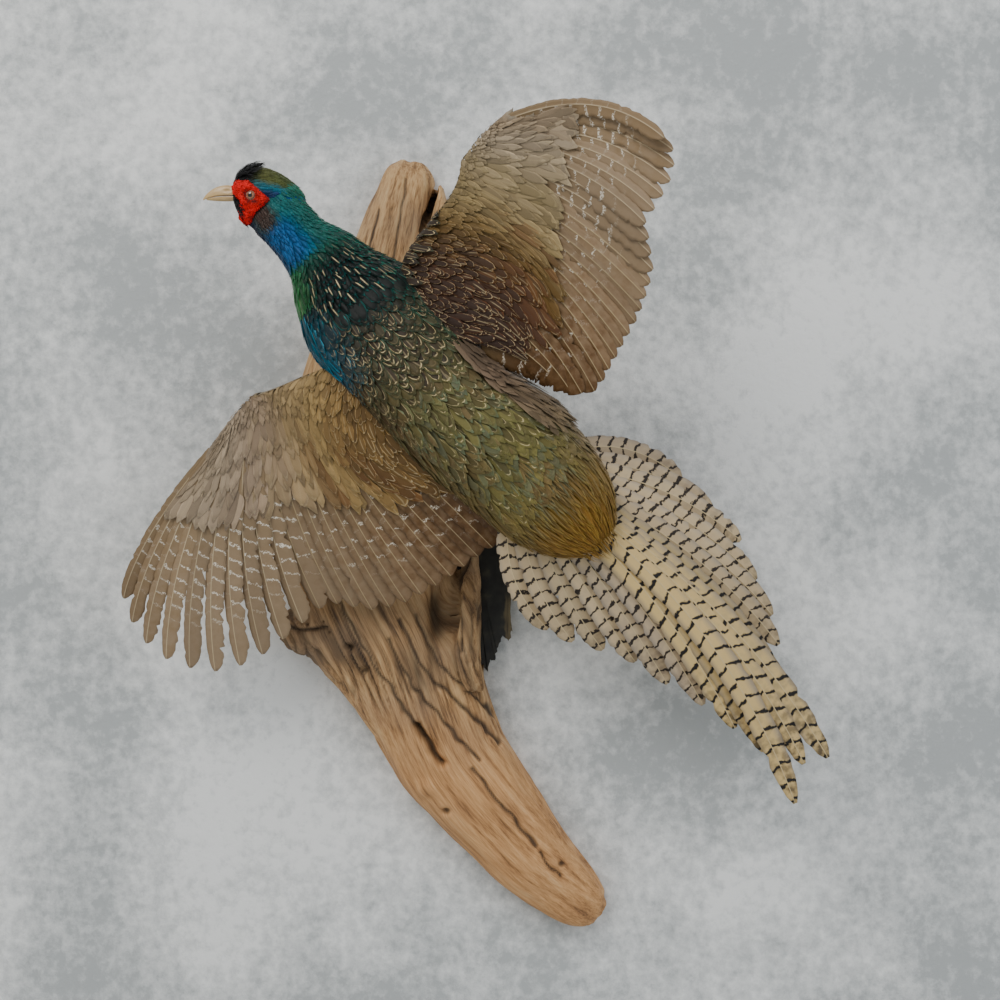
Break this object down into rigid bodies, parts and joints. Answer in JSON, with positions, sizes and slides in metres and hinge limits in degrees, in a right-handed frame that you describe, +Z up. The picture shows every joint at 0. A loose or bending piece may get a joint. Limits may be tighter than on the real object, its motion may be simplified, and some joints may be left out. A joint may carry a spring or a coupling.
{
  "type": "taxidermy pheasant on driftwood wall mount",
  "caption": "Dark cock pheasant mounted in flight, back to the viewer, wings spread and tail fanned, on a driftwood wall hanger.",
  "frame": {"origin": "on the flat back of the driftwood where it meets the wall, behind the bird's body", "axes": "+Y into the wall, +Z up, +X to the right as seen from the front, so the bill points to -X and the tail to +X and down"},
  "size_m": [0.6856, 0.3063, 0.7807],
  "materials": {
    "crown_feathers": "short olive-green feathers with a bronze gloss",
    "neck_feathers": "close feathers, iridescent blue to green",
    "mantle_feathers": "dark brown feathers with cream lines and green edges",
    "rump_feathers": "shaggy olive-green feathers",
    "covert_hair_feathers": "hair-like golden-rust coverts",
    "thigh_feathers": "short dark brown feathers",
    "wing_coverts": "olive-brown coverts with pale shafts",
    "flight_feathers": "brown-tan vanes with white bars and cream shafts",
    "tail_feathers": "buff-tan vanes barred with black",
    "wattle_skin": "bare red papillose skin",
    "glass_eye": "polished glass eye, brown iris and black pupil",
    "bill_horn": "pale horn, satin",
    "leg_scales": "grey-brown scales and dark claws",
    "driftwood": "weathered driftwood, warm tan with dark grain",
    "black_board": "black-stained rough board",
    "mount_steel": "dull mounting rod"
  },
  "bodies": {
    "root": {"backing_board": "black_board", "bill_lower": "bill_horn", "bill_upper": "bill_horn", "breast": "mantle_feathers", "driftwood": "driftwood", "eye_left": "glass_eye", "eye_right": "glass_eye", "foot_left": "leg_scales", "foot_right": "leg_scales", "head": "crown_feathers", "mounting_rod_lower": "mount_steel", "mounting_rod_upper": "mount_steel", "neck_lower": "neck_feathers", "neck_upper": "neck_feathers", "rump": "rump_feathers", "shank_left": "leg_scales", "shank_right": "leg_scales", "tail_centre": "tail_feathers", "tail_coverts": "covert_hair_feathers", "tail_left": "tail_feathers", "tail_right": "tail_feathers", "thigh_left": "thigh_feathers", "thigh_right": "thigh_feathers", "trunk": "mantle_feathers", "wattle_left": "wattle_skin", "wattle_right": "wattle_skin", "wing_left_arm": "wing_coverts", "wing_left_hand": "wing_coverts", "wing_left_primaries": "flight_feathers", "wing_left_secondaries": "flight_feathers", "wing_right_arm": "wing_coverts", "wing_right_hand": "wing_coverts", "wing_right_primaries": "flight_feathers", "wing_right_secondaries": "flight_feathers"}
  },
  "joints": []
}
